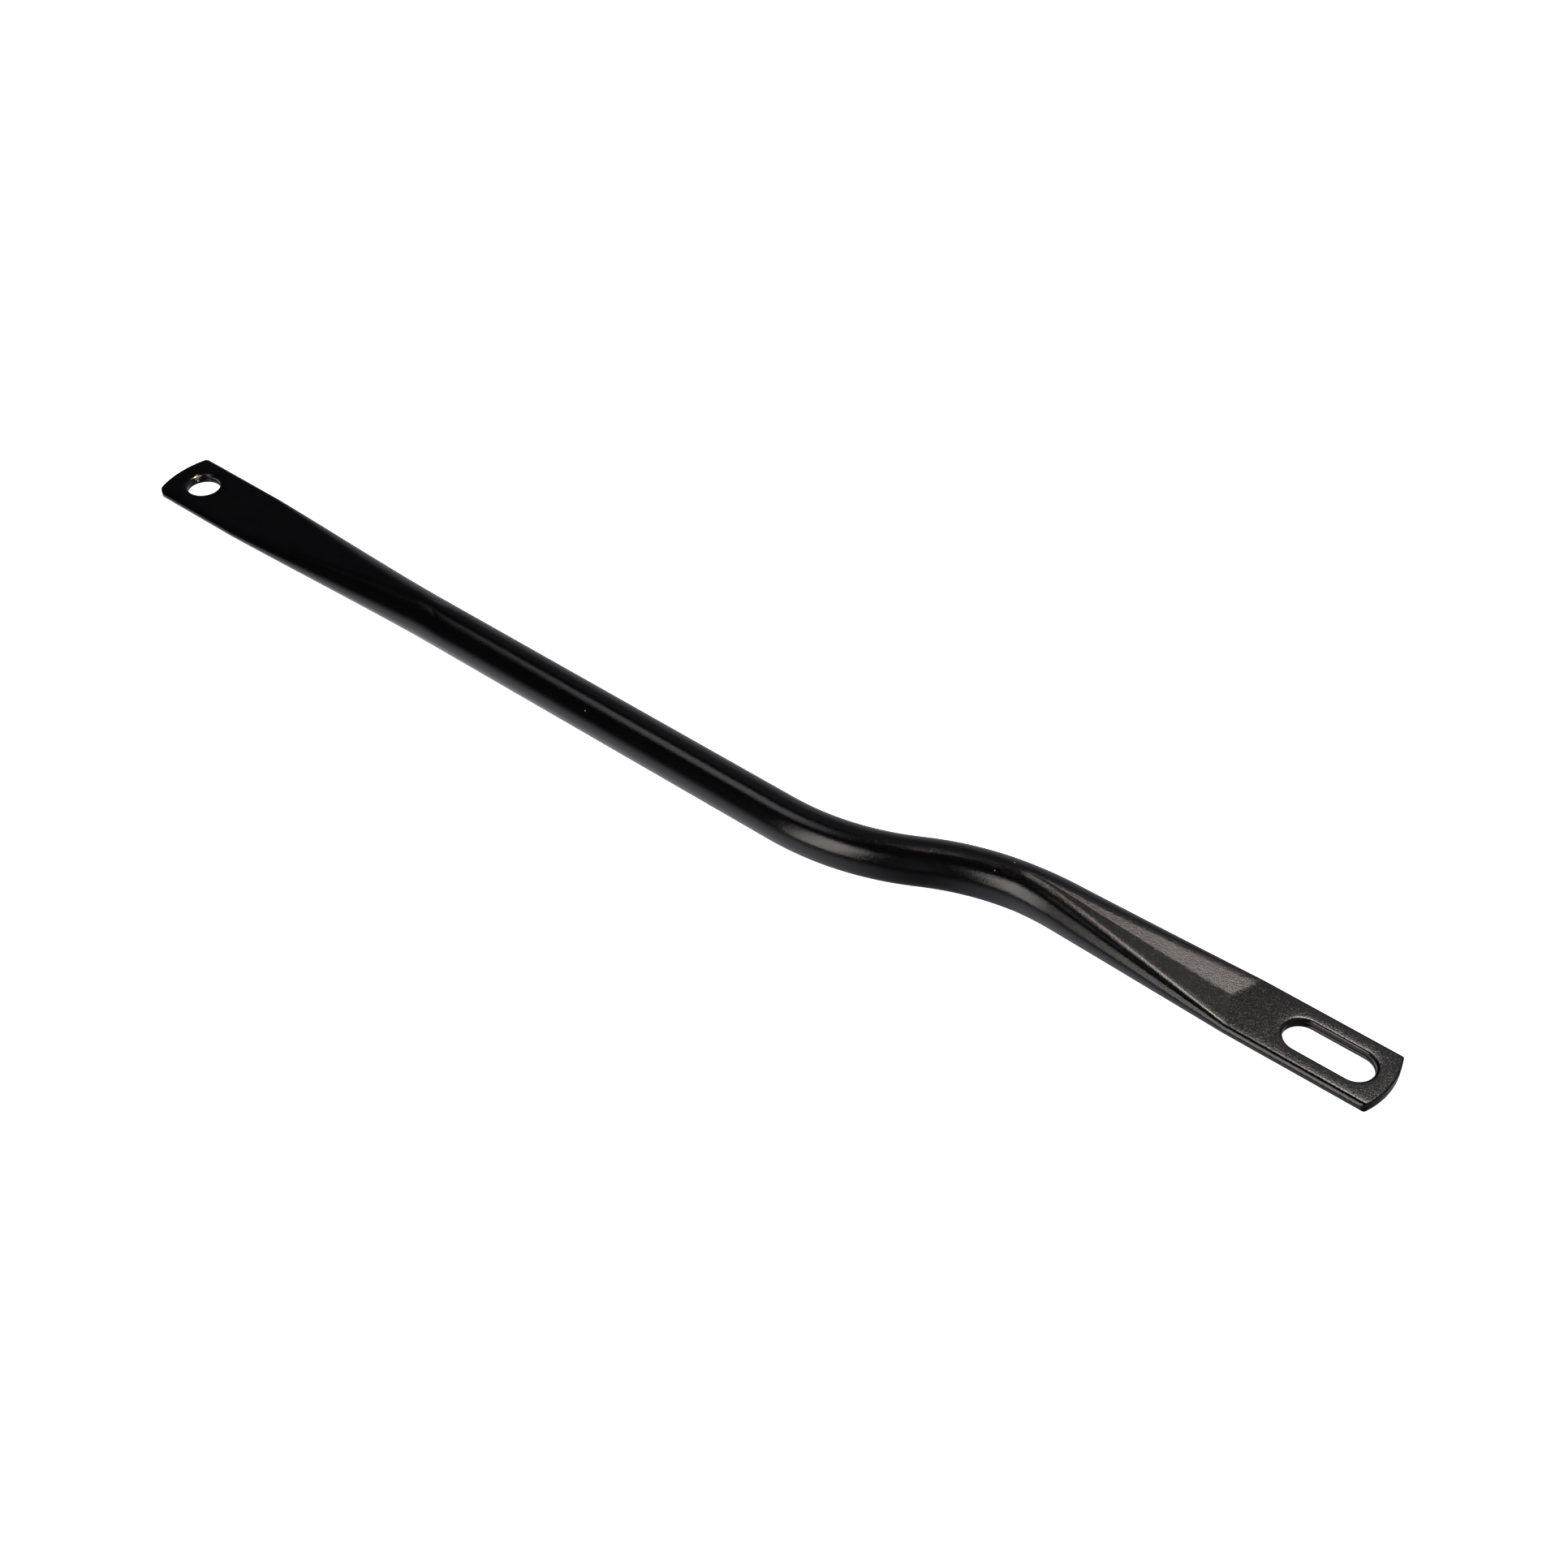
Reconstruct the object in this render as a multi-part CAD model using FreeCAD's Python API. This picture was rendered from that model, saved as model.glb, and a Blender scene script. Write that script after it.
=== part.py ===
import FreeCAD, Part
import math
import os

# Joggled tube stay, one formed tube. Millimetres, +Z up.
# Origin: centre of the round bolt hole, on the mid-plane of the flats.
# +X runs along the straight tube to the slotted end, +Z is the axis of the hole.

# ---- tube ----
TUBE_D = 12.0               # outside diameter
WALL = 1.5                  # tube wall
STRAIGHT_END_X = 207.0      # where the straight tube stops and the joggle starts
BEND_R = 70.0               # both bends, to the tube's centre line
BEND_DEG = 29.0             # angle of the slanted part of the joggle
JOG_STRAIGHT = 2.2          # straight between the two bends

# ---- hole end ----
HOLE_D = 9.0                # clearance for an M8 bolt
HOLE_TIP = 9.75             # hole centre to the tip
HOLE_FLAT_L = 31.0          # tip to the end of the flat
HOLE_RAMP_L = 66.0          # flat to full round
HOLE_FLAT_W = 18.6          # width over the folded edges
HOLE_END_R = 26.0           # plan radius of the tip

# ---- slotted end ----
SLOT_W = 9.0
SLOT_CC = 13.3              # between the slot's end centres
SLOT_TIP = 15.6             # slot centre to the tip
END_STRAIGHT = 85.8         # end of the joggle to the tip
SLOT_FLAT_L = 37.5
SLOT_RAMP_L = 59.5
SLOT_FLAT_W = 18.4
SLOT_END_R = 21.5

# ---- pressed section, both ends ----
FLAT_T = 2.8                # over the two pressed walls
SLIT = 0.10                 # gap left between the two walls
EDGE_WALL = 1.45            # wall in the folded edge
CORNER_R = 1.4              # plan radius of the trimmed corners
RIM_R = 0.6                 # rolled rim of the hole and the slot
APEX = 0.25                 # half width of a ramp's face where it leaves the round tube
VALLEY_L = 3.4              # the slot ramp's middle meets the flat this much before its sides
RAMP_SOFT = 0.25            # how much of the hole end's ramp is eased in and out
RAMP_STEPS = 8              # spans between the sections of a ramp
FUSE_TOL = 0.001
NEAR = 0.01                 # how near an edge has to be to count as a hole's rim
TRIM_OVER = 6.0             # the trimming block passes the tip this much
TRIM_IN = 8.0               # and reaches this far inwards

V = FreeCAD.Vector
Z = V(0, 0, 1)
R_OUT = TUBE_D / 2
R_IN = R_OUT - WALL
BEND = math.radians(BEND_DEG)
JOG_L = 2 * BEND_R * BEND + JOG_STRAIGHT


def lerp(a, b, u):
    return a + (b - a) * u


def centre_line(s):
    """Point and direction on the centre line, s millimetres after the joggle starts."""
    arc = BEND_R * BEND
    slant = V(math.cos(BEND), math.sin(BEND), 0)
    if s <= 0:
        return V(STRAIGHT_END_X + s, 0, 0), V(1, 0, 0)
    if s <= arc:
        a = s / BEND_R
        x = STRAIGHT_END_X + BEND_R * math.sin(a)
        y = BEND_R * (1 - math.cos(a))
        return V(x, y, 0), V(math.cos(a), math.sin(a), 0)
    x = STRAIGHT_END_X + BEND_R * math.sin(BEND)
    y = BEND_R * (1 - math.cos(BEND))
    if s <= arc + JOG_STRAIGHT:
        return V(x, y, 0) + slant * (s - arc), slant
    x += JOG_STRAIGHT * math.cos(BEND)
    y += JOG_STRAIGHT * math.sin(BEND)
    if s <= JOG_L:
        a = BEND - (s - arc - JOG_STRAIGHT) / BEND_R
        x += BEND_R * (math.sin(BEND) - math.sin(a))
        y += BEND_R * (math.cos(a) - math.cos(BEND))
        return V(x, y, 0), V(math.cos(a), math.sin(a), 0)
    x += BEND_R * math.sin(BEND)
    y += BEND_R * (1 - math.cos(BEND))
    return V(x + s - JOG_L, y, 0), V(1, 0, 0)


JOG_END, _ = centre_line(JOG_L)
TIP_X = JOG_END.x + END_STRAIGHT
SLOT_X = TIP_X - SLOT_TIP
SLOT_Y = JOG_END.y


def section(origin, direction, radius, half_w, half_t, u, middle_u=None):
    """Closed wire across the tube: u = 0 is the round tube, u = 1 is the pressed flat.

    A pressed face above, a folded side, a pressed face below and the other folded side.
    Where the middle of the faces is pressed further than their sides, middle_u says how far.
    """
    side = Z.cross(direction)
    width = lerp(radius, half_w, u)
    face = lerp(APEX, half_w - half_t, u)
    high = lerp(math.sqrt(radius ** 2 - APEX ** 2), half_t, u)
    lid = [(-face, high), (face, high)]
    if middle_u is not None:
        lid.insert(1, (0, lerp(radius, half_t, min(middle_u, 1))))

    def at(y, z):
        return origin + side * y + Z * z

    edges = []
    for sign in (1, -1):
        for (y0, z0), (y1, z1) in zip(lid, lid[1:]):
            start, end = at(sign * y0, sign * z0), at(sign * y1, sign * z1)
            if u == 0:
                y = (y0 + y1) / 2
                top = math.sqrt(radius ** 2 - y ** 2)
                edges.append(Part.Arc(start, at(sign * y, sign * top), end))
            else:
                edges.append(Part.LineSegment(start, end))
        edges.append(Part.Arc(end, at(sign * width, 0), at(sign * face, -sign * high)))
    return Part.Wire([edge.toShape() for edge in edges])


def skin(radius, inset, half_t):
    """The whole tube as a solid rod: the outside skin, or the inside one for the bore."""
    along = V(1, 0, 0)
    body = []

    # hole end: pressed flat, then a long soft ramp to the round tube
    half_w = HOLE_FLAT_W / 2 - inset
    tip = V(-HOLE_TIP - inset, 0, 0)
    flat = section(tip, along, radius, half_w, half_t, 1)
    body.append(Part.Face(flat).extrude(along * (HOLE_FLAT_L + inset)))
    ramp_x = HOLE_FLAT_L - HOLE_TIP
    ramp = []
    for i in range(RAMP_STEPS + 1):
        k = i / RAMP_STEPS
        soft = lerp(k, k * k * (3 - 2 * k), RAMP_SOFT)
        point = V(ramp_x + HOLE_RAMP_L * k, 0, 0)
        ramp.append(section(point, along, radius, half_w, half_t, 1 - soft))
    body.append(Part.makeLoft(ramp, True, False))

    # round tube, first bend, slanted straight
    round_x = ramp_x + HOLE_RAMP_L
    body.append(Part.makeCylinder(radius, STRAIGHT_END_X - round_x, V(round_x, 0, 0), along))
    ring = Part.Face(Part.Wire(Part.makeCircle(radius, V(STRAIGHT_END_X, 0, 0), along)))
    body.append(ring.revolve(V(STRAIGHT_END_X, BEND_R, 0), Z, BEND_DEG))
    mid, slant = centre_line(BEND_R * BEND)
    body.append(Part.makeCylinder(radius, JOG_STRAIGHT, mid, slant))

    # second bend, as far as the ramp
    ramp_s = JOG_L + END_STRAIGHT - SLOT_FLAT_L - SLOT_RAMP_L
    bend_s = BEND_R * BEND + JOG_STRAIGHT
    mid, slant = centre_line(bend_s)
    ring = Part.Face(Part.Wire(Part.makeCircle(radius, mid, slant)))
    turn = math.degrees((ramp_s - bend_s) / BEND_R)
    body.append(ring.revolve(mid + slant.cross(Z) * BEND_R, Z * -1, turn))

    # slotted end: ramp whose two faces make a shallow valley, then the pressed flat
    half_w = SLOT_FLAT_W / 2 - inset
    valley_end = SLOT_RAMP_L - VALLEY_L

    def ramp_section(s):
        point, direction = centre_line(ramp_s + s)
        return section(point, direction, radius, half_w, half_t, s / SLOT_RAMP_L, s / valley_end)

    ramp = [ramp_section(valley_end * i / RAMP_STEPS) for i in range(RAMP_STEPS + 1)]
    body.append(Part.makeLoft(ramp, True, False))
    body.append(Part.makeLoft([ramp[-1], ramp_section(SLOT_RAMP_L)], True, True))
    point, direction = centre_line(ramp_s + SLOT_RAMP_L)
    flat = section(point, direction, radius, half_w, half_t, 1)
    body.append(Part.Face(flat).extrude(direction * (SLOT_FLAT_L + inset)))

    return body[0].multiFuse(body[1:], FUSE_TOL)


def tip_trim(tip, inward, end_r, width):
    """Block that trims a flat to a plan arc with rounded corners."""
    half = width / 2
    centre = V(end_r, 0, 0)
    fillet_y = half - CORNER_R
    fillet = V(end_r - math.sqrt((end_r - CORNER_R) ** 2 - fillet_y ** 2), fillet_y, 0)
    on_arc = centre + (fillet - centre) * (end_r / (end_r - CORNER_R))
    on_edge = V(fillet.x, half, 0)
    between = (on_arc - fillet) + (on_edge - fillet)
    on_fillet = fillet + between * (CORNER_R / between.Length)

    def mirror(p):
        return V(p.x, -p.y, p.z)

    edges = [
        Part.Arc(mirror(on_arc), V(0, 0, 0), on_arc).toShape(),
        Part.Arc(on_arc, on_fillet, on_edge).toShape(),
        Part.LineSegment(on_edge, V(TRIM_IN, half, 0)).toShape(),
        Part.LineSegment(V(TRIM_IN, half, 0), V(TRIM_IN, -half, 0)).toShape(),
        Part.LineSegment(V(TRIM_IN, -half, 0), mirror(on_edge)).toShape(),
        Part.Arc(mirror(on_edge), mirror(on_fillet), mirror(on_arc)).toShape(),
    ]
    kept = Part.Face(Part.Wire(edges)).extrude(Z * TUBE_D)
    corner = V(-TRIM_OVER, -width, 0)
    block = Part.makeBox(TRIM_OVER + fillet.x, 2 * width, TUBE_D, corner)
    block = block.cut(kept)
    block.translate(V(0, 0, -TUBE_D / 2))
    if inward < 0:
        block.rotate(V(0, 0, 0), Z, 180)
    block.translate(tip)
    return block


def rolled_rims(shape):
    """Rolls the two rims of the hole and of the slot."""
    holes = [(0, 0, HOLE_D / 2, HOLE_D / 2), (SLOT_X, SLOT_Y, (SLOT_CC + SLOT_W) / 2, SLOT_W / 2)]
    rims = []
    for edge in shape.Edges:
        box = edge.BoundBox
        on_face = box.ZLength < NEAR and abs(abs(box.ZMin) - FLAT_T / 2) < NEAR
        for x, y, half_l, half_w in holes:
            along = max(abs(box.XMin - x), abs(box.XMax - x)) < half_l + NEAR
            across = max(abs(box.YMin - y), abs(box.YMax - y)) < half_w + NEAR
            if on_face and along and across:
                rims.append(edge)
    return shape.makeFillet(RIM_R, rims)


# ---- the tube: outside skin less the bore ----
outside = skin(R_OUT, 0, FLAT_T / 2)
bore = skin(R_IN, EDGE_WALL, SLIT / 2)
tube = outside.cut(bore)

# ---- trimmed tips ----
tube = tube.cut(tip_trim(V(-HOLE_TIP, 0, 0), 1, HOLE_END_R, HOLE_FLAT_W))
tube = tube.cut(tip_trim(V(TIP_X, SLOT_Y, 0), -1, SLOT_END_R, SLOT_FLAT_W))

# ---- bolt hole and slot ----
tube = tube.cut(Part.makeCylinder(HOLE_D / 2, TUBE_D, V(0, 0, -TUBE_D / 2)))
slot_corner = V(SLOT_X - SLOT_CC / 2, SLOT_Y - SLOT_W / 2, -TUBE_D / 2)
slot = Part.makeBox(SLOT_CC, SLOT_W, TUBE_D, slot_corner)
for side in (-1, 1):
    end = V(SLOT_X + side * SLOT_CC / 2, SLOT_Y, -TUBE_D / 2)
    slot = slot.fuse(Part.makeCylinder(SLOT_W / 2, TUBE_D, end))
tube = tube.cut(slot.removeSplitter())
tube = rolled_rims(tube)

os.makedirs("parts", exist_ok=True)
tube.exportStep("parts/stay_tube.step")
print("stay_tube", tube.isValid(), len(tube.Solids), len(tube.Faces), round(tube.Volume, 1))
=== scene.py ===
import math

import bmesh
import bpy
from mathutils import Matrix, Vector


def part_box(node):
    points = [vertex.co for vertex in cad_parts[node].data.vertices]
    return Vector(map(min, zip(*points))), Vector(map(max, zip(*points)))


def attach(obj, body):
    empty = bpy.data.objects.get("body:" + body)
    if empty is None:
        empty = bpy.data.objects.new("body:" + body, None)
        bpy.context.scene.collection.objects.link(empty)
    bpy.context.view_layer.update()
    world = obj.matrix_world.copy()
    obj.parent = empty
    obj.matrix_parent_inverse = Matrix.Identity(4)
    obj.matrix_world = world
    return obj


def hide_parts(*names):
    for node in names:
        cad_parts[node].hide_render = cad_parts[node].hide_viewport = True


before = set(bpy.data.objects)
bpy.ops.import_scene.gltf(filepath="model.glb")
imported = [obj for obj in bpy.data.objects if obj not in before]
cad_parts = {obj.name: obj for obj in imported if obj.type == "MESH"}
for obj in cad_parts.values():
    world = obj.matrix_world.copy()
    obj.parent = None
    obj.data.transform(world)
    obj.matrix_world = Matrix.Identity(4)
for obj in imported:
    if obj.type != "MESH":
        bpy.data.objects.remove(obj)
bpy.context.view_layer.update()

# Joggled tube stay: one powder-coated tube, crushed flat at both ends.
# Lengths are in millimetres here and turned to metres where they reach Blender.
MM = 0.001

# ---- sizes read off the frame ----
LOW, HIGH = [[v / MM for v in corner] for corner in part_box("stay_tube")]
TUBE_R = HIGH[2]
HOLE_TIP = -LOW[0]              # hole centre to its tip
HOLE_FLAT_HALF = -LOW[1]
TIP_X = HIGH[0]

# ---- the tube and its joggle ----
WALL = 1.5
BEND_R = 70.0
BEND = math.radians(29.0)
JOG_STRAIGHT = 2.2              # straight between the two bends
END_STRAIGHT = 85.8             # end of the joggle to the tip

# ---- the pressed ends ----
HALF_T = 1.4                    # half the thickness of the two pressed walls
HALF_SLIT = 0.05                # half the gap between them
HOLE_R = 4.5                    # the slot is as wide as the hole
SLOT_CC = 13.3                  # between the slot's end centres
SLOT_TIP = 15.6                 # slot centre to its tip
SLOT_FLAT_HALF = 9.2
HOLE_FLAT_L, HOLE_RAMP_L = 31.0, 66.0
SLOT_FLAT_L, SLOT_RAMP_L = 37.5, 59.5
HOLE_END_R, SLOT_END_R = 26.0, 21.5
CORNER_R = 1.4                  # plan radius of the trimmed corners
BLUNT_CORNER_R = 2.6            # and of the hole end's -Y corner, which the shear left blunter
RAMP_SOFT = 0.25                # how much of the hole end's ramp is eased in and out
FAR_GROWTH = 1.35               # the pressed face widens late on its +Y side, where the fold bulges
NEAR_GROWTH = 1.12
VALLEY_L = 3.4                  # the slot ramp's middle meets the flat this much before its sides

# ---- edges ----
RIM_R = 0.65                    # rolled rim of the hole and the slot
DISH = 0.08                     # the punch drags the face down this much round its rim
DISH_W = 2.2
TIP_EDGE_R = 0.22               # coated edge of the trimmed tip
SEAM = 0.14                     # the two walls part this much where the seam is cut open
LEDGE = 0.16                    # the lower wall's hole is this much out of line with the upper one's

# ---- spacing of the mesh ----
RING = HOLE_R + 1.8             # rings round the holes turn into straight rows by here
DISH_LINES = (0.95, 1.3)        # lines this far outside a hole follow the dish
NEAR = 0.01                     # a point this near the hole's edge is on it
CLEAR = 8.0                     # rows this far past a hole's rings keep clear of the end
FADE_L = 14.0                   # the curve of a tip has faded out of the rows this far in
SEAM_STEP = 0.06                # the parted seam drops off over this depth
HOLE_SPANS = 6                  # spans of an eighth of the hole
RIM_SPANS = 5
TIP_EDGE_SPANS = 3
FOLD_SPANS = 24
CURVE_POINTS = 64               # points of each bend of the centre line
EVEN_OUT = 12.0                 # past a ramp, the columns even out round the tube over this length
CREASE_R = 0.03                 # softness of the crease where the valley meets the flat
SAME_POINT = 0.0002             # points closer than this are one point

# ---- the finish ----
ROUGHNESS = 0.145
GLOSS_SWING = 0.03                  # the grain changes the roughness this much each way
COAT_IOR = 1.42
COAT_DARK, COAT_LIGHT = "#010102", "#030304"
PEEL_MM, PEEL_DEEP = 2.2, 0.004     # orange peel: spacing and depth
GRAIN_MM, GRAIN_DEEP = 0.30, 0.030  # powder grain, drawn about twice its real size to show
CLOUD_MM = 9.0                      # slow change of blackness
NOISE_LOW, NOISE_HIGH = 0.3, 0.7    # a noise is nearly all between these
CLOUD_LOW, CLOUD_HIGH = 0.35, 0.65  # and the clouds use this much of it
DUST_CELL_MM = 2.5                  # at most one speck of dust in each cell this wide
DUST_MM = 0.30
DUST_SHARE = 0.04                   # share of the cells that have one
DUST_ROUGH = 0.4                    # how much rougher a speck is than the coat
DUST_COLOUR = "#9a968f"
CHIP_AT = (-4.4, 1.4, 0.8)          # where the coat has chipped off the hole's wall
CHIP_MM = 1.3
CHIP_RAGGED_MM = 0.8                # size of the notches in the chip's edge
CHIP_LEAST, CHIP_MOST = 0.4, 1.1    # the edge wanders between these shares of its size
BARE_STEEL = "#f0d2b4"
PAPER = "#f4f4f4"
PAPER_ROUGH = 0.9

# ---- the studio ----
FLOOR_HALF = 4.0                # metres
FLOOR_GLOW = 1.0
LAMP_WATTS = 4.0                # for each square metre of a lamp of brightness 1
MIDDLE = (LOW[0] + TIP_X) / 2
LAMPS = [
    # name, azimuth, elevation, distance, width and height in metres, brightness, tint, place faced
    ("strip", -101, 26, 0.85, 0.24, 0.80, 3.7, (1.0, 0.95, 0.90), 240),
    ("low_strip", -90.5, 24, 0.85, 0.11, 0.60, 3.2, (1.0, 0.95, 0.90), 240),
    ("back_left_box", -167, 64, 1.2, 0.46, 0.38, 1.6, (1.0, 0.97, 1.0), MIDDLE),
    ("far_box", 102, 67.5, 0.9, 0.19, 0.37, 14.5, (1.0, 0.90, 0.85), 300),
    ("far_low_box", 101, 41, 0.9, 0.19, 0.19, 0.65, (1.0, 0.92, 0.88), 300),
]
ROOM_PARTS = [
    # name, azimuth and elevation that it lies towards, cosine to that where it starts and is full
    ("below", 0, 90, 0.08, -0.5),
    ("left", -150, 0, 0.05, 0.65),
    ("behind", 105, 45, 0.84, 0.95),
    ("far_side", 90, 0, 0.35, 0.85),
    ("low", 0, 90, 0.50, 0.25),
    ("right_side", 0, 0, 0.10, 0.60),
    ("above", 0, 90, -0.1, 0.3),
]
ROOM, ROOM_FAR = 0.034, 0.16
TABLE_DIM, TABLE_BRIGHT, TABLE_FAR = 0.13, 1.05, 0.2
FAR_WALL = 0.35
RIGHT_WALL = 0.30
ROOM_TINT = (0.97, 0.97, 1.05, 1)

# ---- the camera ----
LENS_MM, SENSOR_MM = 56.46, 36.0
EYE = (0.47077, -0.32626, 0.42093)
LOOK_AZIMUTH, LOOK_ELEVATION = 128.854, -44.305
NEAREST, FARTHEST = 0.02, 20.0


def centre_line_corners():
    """The four corners that the bender works from: both tips and the two bends' crossings."""
    tangent = BEND_R * math.tan(BEND / 2)
    slant = 2 * tangent + JOG_STRAIGHT
    second = TIP_X - END_STRAIGHT - tangent
    slot_y = slant * math.sin(BEND)
    first = second - slant * math.cos(BEND)
    return [(-HOLE_TIP, 0), (first, 0), (second, slot_y), (TIP_X, slot_y)]


CORNERS = centre_line_corners()
TUBE_L = CORNERS[1][0] + HOLE_TIP + END_STRAIGHT + JOG_STRAIGHT + 2 * BEND_R * BEND
TUBE_L -= BEND_R * math.tan(BEND / 2)
JOG_START = TUBE_L - END_STRAIGHT - JOG_STRAIGHT - 2 * BEND_R * BEND


def spread(start, end, spans):
    """Evenly spaced values from start to end, without the first one."""
    return [start + (end - start) * i / spans for i in range(1, spans + 1)]


def ring_lines():
    """Distances from a hole's centre that the mesh has a line at, out to the last ring."""
    lines = []
    for angle in spread(0, 45, HOLE_SPANS):
        lines.append(HOLE_R * math.tan(math.radians(angle)))
    for angle in spread(0, math.pi / 2, RIM_SPANS):
        lines.append(HOLE_R + RIM_R * (1 - math.cos(angle)))
    return lines + [HOLE_R + outside for outside in DISH_LINES] + [RING]


def tip_rows(reach):
    """Rows from a tip to the first ring, close together where the cut edge is rounded."""
    rows = [0.0]
    for angle in spread(0, math.pi / 2, TIP_EDGE_SPANS):
        rows.append(TIP_EDGE_R * (1 - math.cos(angle)))
    return rows + spread(rows[-1], reach, 5)[:-1]


def station_rows():
    """Where the mesh has a row across the tube, measured along the centre line."""
    rings = ring_lines()
    rows = tip_rows(HOLE_TIP - RING)
    rows += [HOLE_TIP - d for d in reversed(rings)] + [HOLE_TIP] + [HOLE_TIP + d for d in rings]
    slot_flat = TUBE_L - SLOT_FLAT_L
    stretches = [
        (HOLE_FLAT_L, 7),                   # rest of the hole's flat
        (HOLE_FLAT_L + HOLE_RAMP_L, 30),    # its ramp
        (JOG_START, 30),                    # the round tube
        (JOG_START + BEND_R * BEND, 24),    # the first bend
        (slot_flat - SLOT_RAMP_L, 18),      # the second, up to the slot's ramp
        (slot_flat - 5, 34),                # the slot's ramp
        (slot_flat + 1, 15),                # where its valley runs out
    ]
    for end, spans in stretches:
        rows += spread(rows[-1], end, spans)
    first = TUBE_L - SLOT_TIP - SLOT_CC / 2
    last = TUBE_L - SLOT_TIP + SLOT_CC / 2
    rows += spread(rows[-1], first - RING, 7)[:-1]
    rows += [first - d for d in reversed(rings)] + [first]
    rows += spread(first, last, 9)
    rows += [last + d for d in rings]
    rows += [TUBE_L - d for d in reversed(tip_rows(SLOT_TIP - SLOT_CC / 2 - RING))]
    return rows


def around_columns():
    """The section's columns, (across, turn), and how many are on a pressed face.

    A pressed face runs across from -1 to 1, and a fold turns.
    """
    face = HOLE_FLAT_HALF - HALF_T
    lines = [d / face for d in ring_lines()] + [1.0]
    lid = [-d for d in reversed(lines)] + [0.0] + lines
    columns = [(-t, math.pi / 2) for t in lid]
    columns += [(-1.0, math.pi / 2 + a) for a in spread(0, math.pi, FOLD_SPANS)]
    columns += [(t, math.pi * 1.5) for t in lid[1:]]
    columns += [(1.0, math.pi * 1.5 + a) for a in spread(0, math.pi, FOLD_SPANS)[:-1]]
    return columns, len(lid)


def step(value, start, end):
    """0 before start, 1 after end, and a smooth rise between them."""
    t = min(max((value - start) / (end - start), 0), 1)
    return t * t * (3 - 2 * t)


def corner_round(depth, radius):
    """How far a rounded edge has dropped at a distance from where its face would end."""
    return radius - math.sqrt(radius ** 2 - (radius - min(depth, radius)) ** 2)


def tip_line(y, half, end_r, near_corner):
    """How far the trimmed tip is set back, y from the middle: an arc and a small corner."""
    corner = near_corner if y < 0 else CORNER_R
    corner_y = half - corner
    corner_x = end_r - math.sqrt((end_r - corner) ** 2 - corner_y ** 2)
    y = min(abs(y), half)
    if y <= corner_y * end_r / (end_r - corner):
        return end_r - math.sqrt(end_r ** 2 - y ** 2)
    return corner_x - math.sqrt(max(corner ** 2 - (y - corner_y) ** 2, 0))


def onto_rings(x, y, half_cc, shell):
    """Moves a point of the straight rows onto the rings round a hole, or a slot of that half length."""
    end_x = math.copysign(min(abs(x), half_cc), x)
    x -= end_x
    square = max(abs(x), abs(y))
    if square > RING or square < HOLE_R - NEAR:
        return x + end_x, y
    scale = 1 + (square / math.hypot(x, y) - 1) * (1 - step(square, HOLE_R + RIM_R, RING))
    scale *= 1 + shell * SEAM * (RING - square) / (RING - HOLE_R) / square
    return x * scale + end_x, y * scale


def rim_sink(x, y, half_cc):
    """How far the face has dropped at a point near a hole: the rolled rim and the dish round it."""
    outside = math.hypot(max(abs(x) - half_cc, 0), y) - HOLE_R
    if outside >= DISH_W:
        return 0.0
    outside = max(outside, 0)
    return corner_round(outside, RIM_R) + DISH * (1 - outside / DISH_W) ** 2


ENDS = [
    # tip, which way is inwards, half width, end radius, -Y corner, hole, half of what its ends are apart
    (0.0, 1, HOLE_FLAT_HALF, HOLE_END_R, BLUNT_CORNER_R, HOLE_TIP, 0.0),
    (TUBE_L, -1, SLOT_FLAT_HALF, SLOT_END_R, CORNER_R, TUBE_L - SLOT_TIP, SLOT_CC / 2),
]


def blank_point(row, across, turn, shell):
    """One point of the blank: its station, its place across and how far it is sunk into the wall."""
    sunk = 0.0
    station = row
    for tip, inward, half, end_r, near_corner, hole, half_cc in ENDS:
        in_row = (row - tip) * inward
        reach = (hole - tip) * inward - half_cc - RING
        if in_row > reach + 2 * (half_cc + RING) + CLEAR:
            continue
        face = half - HALF_T
        on_lid = math.isclose(abs(math.sin(turn)), 1)
        y = across * (HOLE_FLAT_HALF - HALF_T if abs(across) < 1 else face)
        if on_lid and abs(across) < 1:
            x, y = onto_rings(row - hole, y, half_cc, shell)
            station = x + hole
            if not shell:
                sunk = rim_sink(x, y, half_cc)
                if turn > math.pi:
                    outside = math.hypot(max(abs(x) - half_cc, 0), y) - HOLE_R
                    y -= LEDGE * (1 - step(outside, 0, RING - HOLE_R))
        if not shell and in_row < TIP_EDGE_R:
            sunk = max(sunk, corner_round(in_row, TIP_EDGE_R))
        height = HALF_SLIT if shell else HALF_T - sunk
        width = y if on_lid else y + height * math.cos(turn)
        fade_l = reach + (FADE_L - reach) * step(abs(width), RING, half)
        fade = 1 - step(in_row, TIP_EDGE_R, fade_l)
        seam = shell * SEAM * max(1 - in_row / reach, 0)
        station += inward * (tip_line(width, half, end_r, near_corner) * fade + seam)
        across = y / face
    return station, across, sunk


BLANK_VALUES = ("station", "across", "turn", "even_turn", "skin", "sunk")


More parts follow.
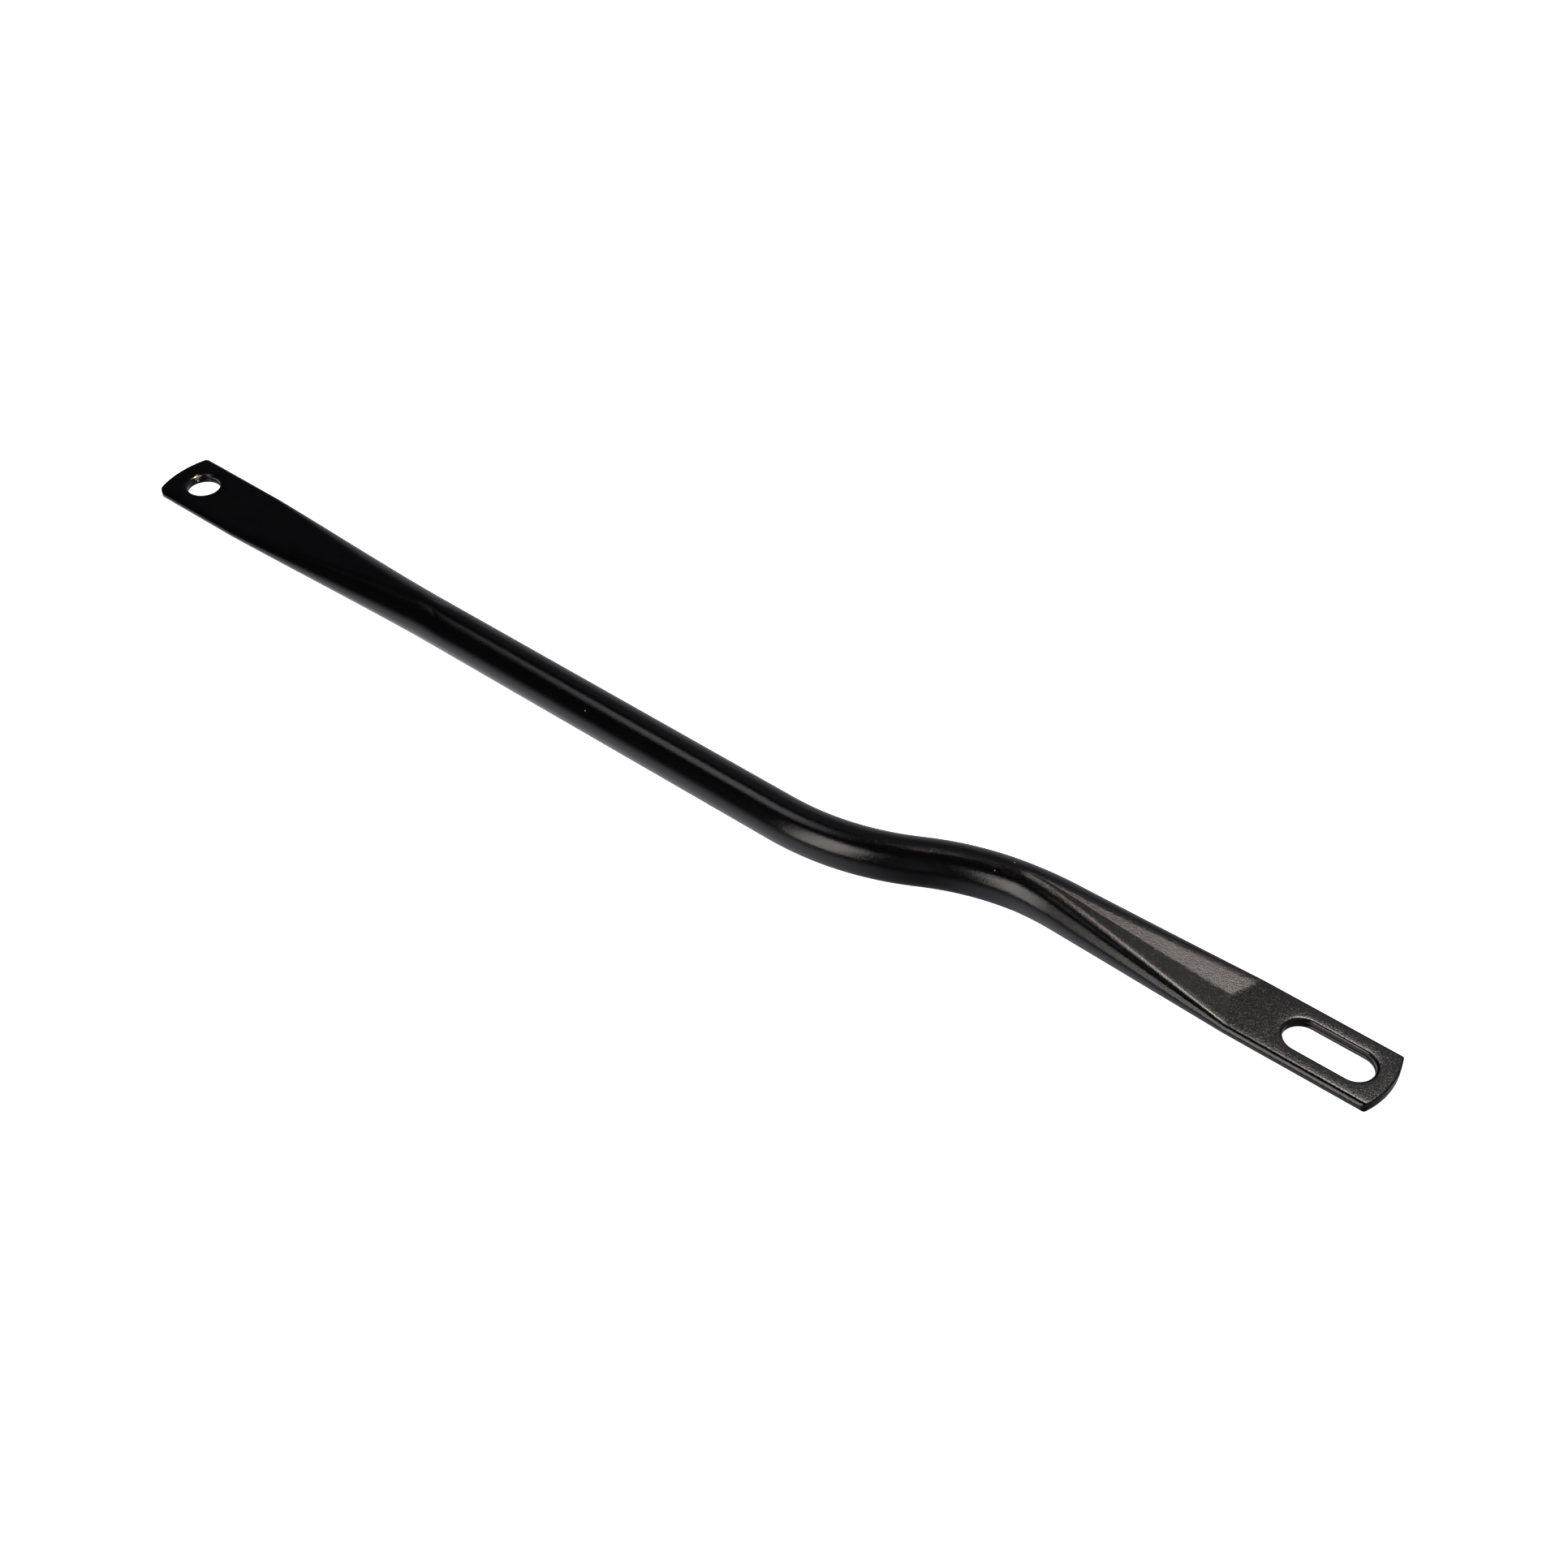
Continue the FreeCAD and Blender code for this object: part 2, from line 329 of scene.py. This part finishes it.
def stay_blank():
    """The tube before it is formed: a lattice of rows and columns for each skin, holes left open.

    Each point carries where it goes: its station along the tube, its place in the section
    (across and turn), its angle where the tube is round, its skin and how far it is sunk.
    """
    rows = station_rows()
    columns, lid_count = around_columns()
    count = len(columns)
    points = []
    faces = []
    index = {}

    def add_point(i, j, shell, extra_sink=None):
        key = (i, j % count, shell, extra_sink)
        if key not in index:
            across, turn = columns[j % count]
            station, across, sunk = blank_point(rows[i], across, turn, shell)
            if extra_sink is not None:
                sunk = extra_sink
            even = math.pi / 2 + 2 * math.pi * (j % count - (lid_count - 1) / 2) / count
            index[key] = len(points)
            points.append((station, across, turn, even, float(shell), sunk))
        return index[key]

    def in_hole(i, j):
        (across, turn), (next_across, next_turn) = columns[j % count], columns[(j + 1) % count]
        y = abs(across + next_across) / 2 * (HOLE_FLAT_HALF - HALF_T)
        if turn != next_turn or y > HOLE_R:
            return False
        middle = (rows[i] + rows[i + 1]) / 2
        return any(abs(middle - hole) < half_cc + HOLE_R for *_, hole, half_cc in ENDS)

    def wall(a, b):
        """The cut wall between the two skins, with the seam between the two layers parted."""
        deep = HALF_T - HALF_SLIT - SEAM
        loops = [[add_point(*p, 0) for p in (a, b)]]
        loops += [[add_point(*p, 0, sink) for p in (a, b)] for sink in (deep - SEAM_STEP, deep)]
        loops += [[add_point(*p, 1) for p in (a, b)]]
        for upper, lower in zip(loops, loops[1:]):
            faces.append((upper[0], upper[1], lower[1], lower[0]))

    last = len(rows) - 1
    for i in range(last):
        for j in range(count):
            if in_hole(i, j):
                sides = (
                    ((i, j), (i, j + 1), (i - 1, j)),
                    ((i + 1, j), (i + 1, j + 1), (i + 1, j)),
                    ((i, j), (i + 1, j), (i, j - 1)),
                    ((i, j + 1), (i + 1, j + 1), (i, j + 1)),
                )
                for a, b, beyond in sides:
                    if not in_hole(*beyond):
                        wall(a, b)
                continue
            for shell in (0, 1):
                corners = ((i, j), (i, j + 1), (i + 1, j + 1), (i + 1, j))
                faces.append([add_point(*p, shell) for p in corners])
    for i in (0, last):
        for j in range(count):
            wall((i, j), (i, j + 1))

    mesh = bpy.data.meshes.new("stay_blank")
    mesh.from_pydata([(p[0] * MM, p[1] * MM, p[4] * MM) for p in points], [], faces)
    for name, values in zip(BLANK_VALUES, zip(*points)):
        unit = MM if name in ("station", "sunk") else 1
        held = mesh.attributes.new(name, "FLOAT", "POINT")
        held.data.foreach_set("value", [value * unit for value in values])
    return bpy.data.objects.new("stay_blank", mesh)


def add(tree, kind, links=None, **settings):
    """Adds a node with its settings, and gives its inputs their values or links."""
    made = tree.nodes.new(kind)
    for name, value in settings.items():
        setattr(made, name, value)
    for socket, source in (links or {}).items():
        if isinstance(source, bpy.types.NodeSocket):
            tree.links.new(source, made.inputs[socket])
        else:
            made.inputs[socket].default_value = source
    return made


def forming_sizes():
    """What the forming tree is told, in metres where it is a length."""
    valley_slope = (TUBE_R - HALF_T) * VALLEY_L / ((SLOT_FLAT_HALF - HALF_T) * (SLOT_RAMP_L - VALLEY_L))
    return {
        "Tube radius": TUBE_R * MM,
        "Wall": WALL * MM,
        "Half thickness": HALF_T * MM,
        "Half slit": HALF_SLIT * MM,
        "Hole face": (HOLE_FLAT_HALF - HALF_T) * MM,
        "Slot face": (SLOT_FLAT_HALF - HALF_T) * MM,
        "Bend radius": BEND_R * MM,
        "Hole ramp start": HOLE_FLAT_L * MM,
        "Hole ramp end": (HOLE_FLAT_L + HOLE_RAMP_L) * MM,
        "Slot ramp start": (TUBE_L - SLOT_FLAT_L - SLOT_RAMP_L) * MM,
        "Slot ramp end": (TUBE_L - SLOT_FLAT_L) * MM,
        "Ramp softness": RAMP_SOFT,
        "Far growth": FAR_GROWTH,
        "Near growth": NEAR_GROWTH,
        "Valley slope": valley_slope,
        "Crease radius": CREASE_R * MM,
        "Even out": EVEN_OUT * MM,
    }


def forming_tree():
    """Geometry Nodes that form the blank: press both ends, then bend the joggle."""
    tree = bpy.data.node_groups.new("form_stay_tube", "GeometryNodeTree")
    face = tree.interface
    face.new_socket("Geometry", in_out="OUTPUT", socket_type="NodeSocketGeometry")
    face.new_socket("Blank", in_out="INPUT", socket_type="NodeSocketGeometry")
    face.new_socket("Centre line", in_out="INPUT", socket_type="NodeSocketObject")
    face.new_socket("Coat", in_out="INPUT", socket_type="NodeSocketMaterial")
    for name in forming_sizes():
        face.new_socket(name, in_out="INPUT", socket_type="NodeSocketFloat")
    size = add(tree, "NodeGroupInput").outputs
    math_kind = "ShaderNodeMath"
    held = {}
    for name in BLANK_VALUES:
        value = add(tree, "GeometryNodeInputNamedAttribute", {"Name": name}, data_type="FLOAT")
        held[name] = value.outputs[0]
    station, across, skin = held["station"], held["across"], held["skin"]

    # how far the section is pressed: 0 is round, 1 is flat
    ramp = {"Value": station, "From Min": size["Hole ramp start"], "From Max": size["Hole ramp end"]}
    straight = add(tree, "ShaderNodeMapRange", ramp).outputs[0]
    eased = add(tree, "ShaderNodeMapRange", ramp, interpolation_type="SMOOTHSTEP").outputs[0]
    round_off = add(tree, "ShaderNodeMix", {0: size["Ramp softness"], 2: straight, 3: eased}).outputs[0]
    hole_press = add(tree, math_kind, {0: 1.0, 1: round_off}, operation="SUBTRACT").outputs[0]
    ramp = {"Value": station, "From Min": size["Slot ramp start"], "From Max": size["Slot ramp end"]}
    slot_press = add(tree, "ShaderNodeMapRange", ramp).outputs[0]
    press = add(tree, math_kind, {0: hole_press, 1: slot_press}, operation="MAXIMUM").outputs[0]
    at_slot = add(tree, math_kind, {0: slot_press, 1: 0.0}, operation="GREATER_THAN").outputs[0]

    # the columns crowd together on a pressed face and even out round the tube
    out = add(tree, math_kind, {0: size["Hole ramp end"], 1: size["Even out"]}, operation="ADD").outputs[0]
    back = add(tree, math_kind, {0: size["Slot ramp start"], 1: size["Even out"]}, operation="SUBTRACT")
    ramp = {"Value": station, "From Min": size["Hole ramp end"], "From Max": out}
    from_hole = add(tree, "ShaderNodeMapRange", ramp, interpolation_type="SMOOTHSTEP").outputs[0]
    ramp = {"Value": station, "From Min": size["Slot ramp start"], "From Max": back.outputs[0]}
    to_slot = add(tree, "ShaderNodeMapRange", ramp, interpolation_type="SMOOTHSTEP").outputs[0]
    even = add(tree, math_kind, {0: from_hole, 1: to_slot}, operation="MINIMUM").outputs[0]
    angle = add(tree, "ShaderNodeMix", {0: even, 2: held["turn"], 3: held["even_turn"]}).outputs[0]

    # half height of the section and half width of its pressed face, for either skin
    tube_wall = add(tree, math_kind, {0: skin, 1: size["Wall"]}, operation="MULTIPLY").outputs[0]
    round_h = add(tree, math_kind, {0: size["Tube radius"], 1: tube_wall}, operation="SUBTRACT").outputs[0]
    half_t, half_slit = size["Half thickness"], size["Half slit"]
    flat_h = add(tree, "ShaderNodeMix", {0: skin, 2: half_t, 3: half_slit}).outputs[0]
    side_h = add(tree, "ShaderNodeMix", {0: press, 2: round_h, 3: flat_h}).outputs[0]
    hole_face, slot_face = size["Hole face"], size["Slot face"]
    full_face = add(tree, "ShaderNodeMix", {0: at_slot, 2: hole_face, 3: slot_face}).outputs[0]
    near = add(tree, math_kind, {0: across, 1: 0.0}, operation="LESS_THAN").outputs[0]
    far_growth, near_growth = size["Far growth"], size["Near growth"]
    growth = add(tree, "ShaderNodeMix", {0: near, 2: far_growth, 3: near_growth}).outputs[0]
    face_grows = add(tree, math_kind, {0: press, 1: growth}, operation="POWER").outputs[0]
    half_face = add(tree, math_kind, {0: full_face, 1: face_grows}, operation="MULTIPLY").outputs[0]
    late = add(tree, math_kind, {0: press, 1: face_grows}, operation="SUBTRACT").outputs[0]
    fold_more = add(tree, math_kind, {0: full_face, 1: late}, operation="MULTIPLY").outputs[0]

    # the slot ramp's two faces fall to a valley, until they meet the flat
    off_side = add(tree, math_kind, {0: across}, operation="ABSOLUTE").outputs[0]
    off_side = add(tree, math_kind, {0: 1.0, 1: off_side}, operation="SUBTRACT").outputs[0]
    fall = add(tree, math_kind, {0: half_face, 1: size["Valley slope"]}, operation="MULTIPLY").outputs[0]
    fall = add(tree, math_kind, {0: fall, 1: off_side}, operation="MULTIPLY").outputs[0]
    fall = add(tree, math_kind, {0: fall, 1: at_slot}, operation="MULTIPLY").outputs[0]
    room = add(tree, math_kind, {0: side_h, 1: flat_h}, operation="SUBTRACT").outputs[0]
    soft = {0: fall, 1: room, 2: size["Crease radius"]}
    fall = add(tree, math_kind, soft, operation="SMOOTH_MIN").outputs[0]
    height = add(tree, math_kind, {0: side_h, 1: fall}, operation="SUBTRACT").outputs[0]
    height = add(tree, math_kind, {0: height, 1: held["sunk"]}, operation="SUBTRACT").outputs[0]

    # the point in the section
    cosine = add(tree, math_kind, {0: angle}, operation="COSINE").outputs[0]
    sine = add(tree, math_kind, {0: angle}, operation="SINE").outputs[0]
    on_face = add(tree, math_kind, {0: half_face, 1: across}, operation="MULTIPLY").outputs[0]
    fold_w = add(tree, math_kind, {0: height, 1: fold_more}, operation="ADD").outputs[0]
    y = add(tree, math_kind, {0: fold_w, 1: cosine, 2: on_face}, operation="MULTIPLY_ADD").outputs[0]
    z = add(tree, math_kind, {0: height, 1: sine}, operation="MULTIPLY").outputs[0]

    # the section's place on the bent centre line
    line = add(tree, "GeometryNodeObjectInfo", {"Object": size["Centre line"]}).outputs["Geometry"]
    bends = {"Curve": line, "Count": CURVE_POINTS, "Radius": size["Bend radius"]}
    bent = add(tree, "GeometryNodeFilletCurve", bends, mode="POLY").outputs[0]
    place = add(tree, "GeometryNodeSampleCurve", {"Curves": bent, "Length": station}, mode="LENGTH").outputs
    vector_kind = "ShaderNodeVectorMath"
    side = add(tree, vector_kind, {0: (0, 0, 1), 1: place["Tangent"]}, operation="CROSS_PRODUCT").outputs[0]
    shift = add(tree, vector_kind, {0: side, "Scale": y}, operation="SCALE").outputs[0]
    shift = add(tree, vector_kind, {0: shift, 1: place["Position"]}, operation="ADD").outputs[0]
    lift = add(tree, "ShaderNodeCombineXYZ", {"Z": z}).outputs[0]
    shift = add(tree, vector_kind, {0: shift, 1: lift}, operation="ADD").outputs[0]

    blank = size["Blank"]
    formed = add(tree, "GeometryNodeSetPosition", {"Geometry": blank, "Position": shift}).outputs[0]
    formed = add(tree, "GeometryNodeSetShadeSmooth", {"Geometry": formed}).outputs[0]
    formed = add(tree, "GeometryNodeRealizeInstances", {"Geometry": formed}).outputs[0]
    formed = add(tree, "GeometryNodeSetMaterial", {"Geometry": formed, "Material": size["Coat"]}).outputs[0]
    add(tree, "NodeGroupOutput", {0: formed})
    return tree


def centre_line_object():
    """The bender's line: four straight-joined corners, which the tree rounds to the bend radius."""
    curve = bpy.data.curves.new("centre_line", "CURVE")
    curve.dimensions = "3D"
    spline = curve.splines.new("POLY")
    spline.points.add(len(CORNERS) - 1)
    for point, (x, y) in zip(spline.points, CORNERS):
        point.co = (x * MM, y * MM, 0, 1)
    return bpy.data.objects.new("centre_line", curve)


def form_stay_tube(coat):
    """Runs the forming tree on the blank and keeps its result as a plain closed mesh."""
    blank = stay_blank()
    line = centre_line_object()
    for thing in (blank, line):
        bpy.context.scene.collection.objects.link(thing)
    tree = forming_tree()
    forming = blank.modifiers.new("form", "NODES")
    forming.node_group = tree
    values = {"Centre line": line, "Coat": coat, **forming_sizes()}
    for socket in tree.interface.items_tree:
        if socket.item_type == "SOCKET" and socket.in_out == "INPUT" and socket.name in values:
            forming[socket.identifier] = values[socket.name]
    formed = blank.evaluated_get(bpy.context.evaluated_depsgraph_get())
    mesh = bpy.data.meshes.new_from_object(formed)
    for thing in (blank, line):
        bpy.data.objects.remove(thing)
    shape = bmesh.new()
    shape.from_mesh(mesh)
    # a ramp's face narrows to one point where it meets the round tube
    bmesh.ops.remove_doubles(shape, verts=shape.verts, dist=SAME_POINT * MM)
    bmesh.ops.recalc_face_normals(shape, faces=shape.faces)
    shape.to_mesh(mesh)
    shape.free()
    mesh.name = "coated_stay_tube"
    tube = bpy.data.objects.new("coated_stay_tube", mesh)
    bpy.context.scene.collection.objects.link(tube)
    return tube


def linear(hex_colour):
    """An sRGB hex colour as a linear colour with alpha."""
    parts = [int(hex_colour[i:i + 2], 16) / 255 for i in (1, 3, 5)]
    return tuple(c / 12.92 if c <= 0.04045 else ((c + 0.055) / 1.055) ** 2.4 for c in parts) + (1.0,)


def powder_coat():
    """Black polyester powder coat, satin, baked on pickled steel tube.

    It gives the eye a near-black skin with a soft sheen, a slight orange peel where the powder
    flowed out, a fine grain in the light, a few light dust specks, and bare steel where the
    coat has chipped inside the hole.
    """
    coat = bpy.data.materials.new("black_satin_powder_coat")
    coat.use_nodes = True
    tree = coat.node_tree
    tree.nodes.clear()
    place = add(tree, "ShaderNodeTexCoord").outputs["Object"]

    # orange peel, powder grain and a slow change of blackness
    noise_kind = "ShaderNodeTexNoise"
    peel = add(tree, noise_kind, {"Vector": place, "Scale": 1 / (PEEL_MM * MM), "Detail": 2}).outputs[0]
    grain = add(tree, noise_kind, {"Vector": place, "Scale": 1 / (GRAIN_MM * MM), "Detail": 1}).outputs[0]
    cloud = add(tree, noise_kind, {"Vector": place, "Scale": 1 / (CLOUD_MM * MM), "Detail": 3}).outputs[0]

    # dust: one speck in a few of the cells
    cells = add(tree, "ShaderNodeTexVoronoi", {"Vector": place, "Scale": 1 / (DUST_CELL_MM * MM)})
    speck = {0: cells.outputs["Distance"], 1: DUST_MM / 2 / DUST_CELL_MM}
    near = add(tree, "ShaderNodeMath", speck, operation="LESS_THAN").outputs[0]
    pick = add(tree, "ShaderNodeSeparateColor", {0: cells.outputs["Color"]}).outputs[0]
    pick = add(tree, "ShaderNodeMath", {0: pick, 1: DUST_SHARE}, operation="LESS_THAN").outputs[0]
    dust = add(tree, "ShaderNodeMath", {0: near, 1: pick}, operation="MULTIPLY").outputs[0]

    # the chip: a ragged spot on the wall of the hole
    notches = {"Vector": place, "Scale": 1 / (CHIP_RAGGED_MM * MM), "Detail": 3}
    ragged = add(tree, noise_kind, notches).outputs[0]
    spot = {0: place, 1: tuple(v * MM for v in CHIP_AT)}
    from_chip = add(tree, "ShaderNodeVectorMath", spot, operation="DISTANCE").outputs["Value"]
    reach = {"Value": ragged, "From Min": NOISE_LOW, "From Max": NOISE_HIGH,
             "To Min": CHIP_LEAST * CHIP_MM * MM, "To Max": CHIP_MOST * CHIP_MM * MM}
    reach = add(tree, "ShaderNodeMapRange", reach).outputs[0]
    chip = add(tree, "ShaderNodeMath", {0: from_chip, 1: reach}, operation="LESS_THAN").outputs[0]

    pale = {"Value": cloud, "From Min": CLOUD_LOW, "From Max": CLOUD_HIGH}
    pale = add(tree, "ShaderNodeMapRange", pale).outputs[0]
    tint = {0: pale, 6: linear(COAT_DARK), 7: linear(COAT_LIGHT)}
    tint = add(tree, "ShaderNodeMix", tint, data_type="RGBA").outputs[2]
    for share, colour in ((dust, DUST_COLOUR), (chip, BARE_STEEL)):
        tint = {0: share, 6: tint, 7: linear(colour)}
        tint = add(tree, "ShaderNodeMix", tint, data_type="RGBA").outputs[2]
    gloss = {"Value": grain, "From Min": NOISE_LOW, "From Max": NOISE_HIGH,
             "To Min": ROUGHNESS - GLOSS_SWING, "To Max": ROUGHNESS + GLOSS_SWING}
    gloss = add(tree, "ShaderNodeMapRange", gloss).outputs[0]
    gloss = {0: dust, 1: DUST_ROUGH, 2: gloss}
    gloss = add(tree, "ShaderNodeMath", gloss, operation="MULTIPLY_ADD").outputs[0]
    bump = {"Height": peel, "Strength": 1.0, "Distance": PEEL_DEEP * MM}
    bump = add(tree, "ShaderNodeBump", bump).outputs[0]
    bump = {"Height": grain, "Strength": 1.0, "Distance": GRAIN_DEEP * MM, "Normal": bump}
    bump = add(tree, "ShaderNodeBump", bump).outputs[0]
    skin = {"Base Color": tint, "Roughness": gloss, "Metallic": chip, "Normal": bump, "IOR": COAT_IOR}
    skin = add(tree, "ShaderNodeBsdfPrincipled", skin)
    add(tree, "ShaderNodeOutputMaterial", {"Surface": skin.outputs[0]})
    return coat


def white_floor():
    """A wide sheet of matt white paper under the stay: a plain, evenly lit ground for the eye."""
    paper = bpy.data.materials.new("white_matt_paper")
    paper.use_nodes = True
    tree = paper.node_tree
    tree.nodes.clear()
    skin = add(tree, "ShaderNodeBsdfPrincipled", {
        "Base Color": linear(PAPER),
        "Roughness": PAPER_ROUGH,
        "Emission Color": linear("#ffffff"),
        "Emission Strength": FLOOR_GLOW,
    })
    add(tree, "ShaderNodeOutputMaterial", {"Surface": skin.outputs[0]})
    shape = bmesh.new()
    bmesh.ops.create_grid(shape, x_segments=1, y_segments=1, size=FLOOR_HALF)
    bmesh.ops.translate(shape, vec=(MIDDLE * MM, 0, LOW[2] * MM), verts=shape.verts)
    mesh = bpy.data.meshes.new("floor")
    shape.to_mesh(mesh)
    shape.free()
    mesh.materials.append(paper)
    floor = bpy.data.objects.new("floor", mesh)
    bpy.context.scene.collection.objects.link(floor)
    floor.visible_glossy = False


def direction(azimuth, elevation):
    """The unit vector towards an azimuth, anticlockwise from +X, and an elevation."""
    a, e = math.radians(azimuth), math.radians(elevation)
    return Vector((math.cos(a) * math.cos(e), math.sin(a) * math.cos(e), math.sin(e)))


def softbox(name, azimuth, elevation, distance, width, height, brightness, tint, facing_x):
    """A rectangular soft light that faces the stay at facing_x millimetres along it."""
    lamp = bpy.data.lights.new(name, "AREA")
    lamp.color = tint
    lamp.shape = "RECTANGLE"
    lamp.size, lamp.size_y = width, height
    lamp.energy = brightness * width * height * LAMP_WATTS
    thing = bpy.data.objects.new(name, lamp)
    towards = direction(azimuth, elevation)
    thing.location = Vector((facing_x * MM, 0, 0)) + towards * distance
    thing.rotation_mode = "QUATERNION"
    thing.rotation_quaternion = towards.to_track_quat("Z", "Y")
    thing.visible_camera = False
    bpy.context.scene.collection.objects.link(thing)


def studio():
    """Two strips and three boxes over a bright table, in a dim room with two paler walls."""
    for lamp in LAMPS:
        softbox(*lamp)
    world = bpy.data.worlds.new("room")
    bpy.context.scene.world = world
    world.use_nodes = True
    tree = world.node_tree
    tree.nodes.clear()
    towards = add(tree, "ShaderNodeTexCoord").outputs["Generated"]
    fade = {}
    for name, azimuth, elevation, start, full in ROOM_PARTS:
        cosine = {0: towards, 1: direction(azimuth, elevation)}
        cosine = add(tree, "ShaderNodeVectorMath", cosine, operation="DOT_PRODUCT").outputs["Value"]
        part = {"Value": cosine, "From Min": start, "From Max": full}
        fade[name] = add(tree, "ShaderNodeMapRange", part, interpolation_type="SMOOTHSTEP").outputs[0]

    # the table is brightest on the left and fades towards the camera's side
    table = {"Value": fade["left"], "To Min": TABLE_DIM, "To Max": TABLE_BRIGHT}
    table = add(tree, "ShaderNodeMapRange", table).outputs[0]
    table = {0: fade["behind"], 1: TABLE_FAR, 2: table}
    table = add(tree, "ShaderNodeMath", table, operation="MULTIPLY_ADD").outputs[0]
    room = {"Value": fade["behind"], "To Min": ROOM, "To Max": ROOM_FAR}
    room = add(tree, "ShaderNodeMapRange", room, interpolation_type="SMOOTHSTEP").outputs[0]
    glow = {0: fade["below"], 1: table, 2: room}
    glow = add(tree, "ShaderNodeMath", glow, operation="MULTIPLY_ADD").outputs[0]

    # one pale wall lights the stay's far edge, and the other shows its other sides
    for brightness, side, height in ((FAR_WALL, "far_side", "low"), (RIGHT_WALL, "right_side", "above")):
        wall = add(tree, "ShaderNodeMath", {0: fade[side], 1: brightness}, operation="MULTIPLY").outputs[0]
        wall = {0: wall, 1: fade[height], 2: glow}
        glow = add(tree, "ShaderNodeMath", wall, operation="MULTIPLY_ADD").outputs[0]

    # the camera sees plain white beyond the floor
    dim = add(tree, "ShaderNodeBackground", {"Color": ROOM_TINT, "Strength": glow}).outputs[0]
    pale = add(tree, "ShaderNodeBackground", {"Color": (1, 1, 1, 1), "Strength": 1.0}).outputs[0]
    path = add(tree, "ShaderNodeLightPath").outputs["Is Camera Ray"]
    shown = add(tree, "ShaderNodeMixShader", {0: path, 1: dim, 2: pale}).outputs[0]
    add(tree, "ShaderNodeOutputWorld", {"Surface": shown})


def camera():
    """The camera, near the slotted end and looking back along the stay."""
    lens = bpy.data.cameras.new("camera")
    lens.lens = LENS_MM
    lens.sensor_width = SENSOR_MM
    lens.sensor_fit = "HORIZONTAL"
    lens.clip_start, lens.clip_end = NEAREST, FARTHEST
    thing = bpy.data.objects.new("camera", lens)
    thing.location = EYE
    forward = direction(LOOK_AZIMUTH, LOOK_ELEVATION)
    right = direction(LOOK_AZIMUTH - 90, 0)
    up = right.cross(forward)
    turn = Matrix((right, up, -forward)).transposed()
    thing.rotation_mode = "QUATERNION"
    thing.rotation_quaternion = turn.to_quaternion()
    bpy.context.scene.collection.objects.link(thing)
    bpy.context.scene.camera = thing


coat = powder_coat()
tube = form_stay_tube(coat)
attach(tube, "root")
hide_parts("stay_tube")
white_floor()
studio()
camera()
bpy.context.scene.view_settings.view_transform = "Standard"
bpy.context.scene.view_settings.look = "None"
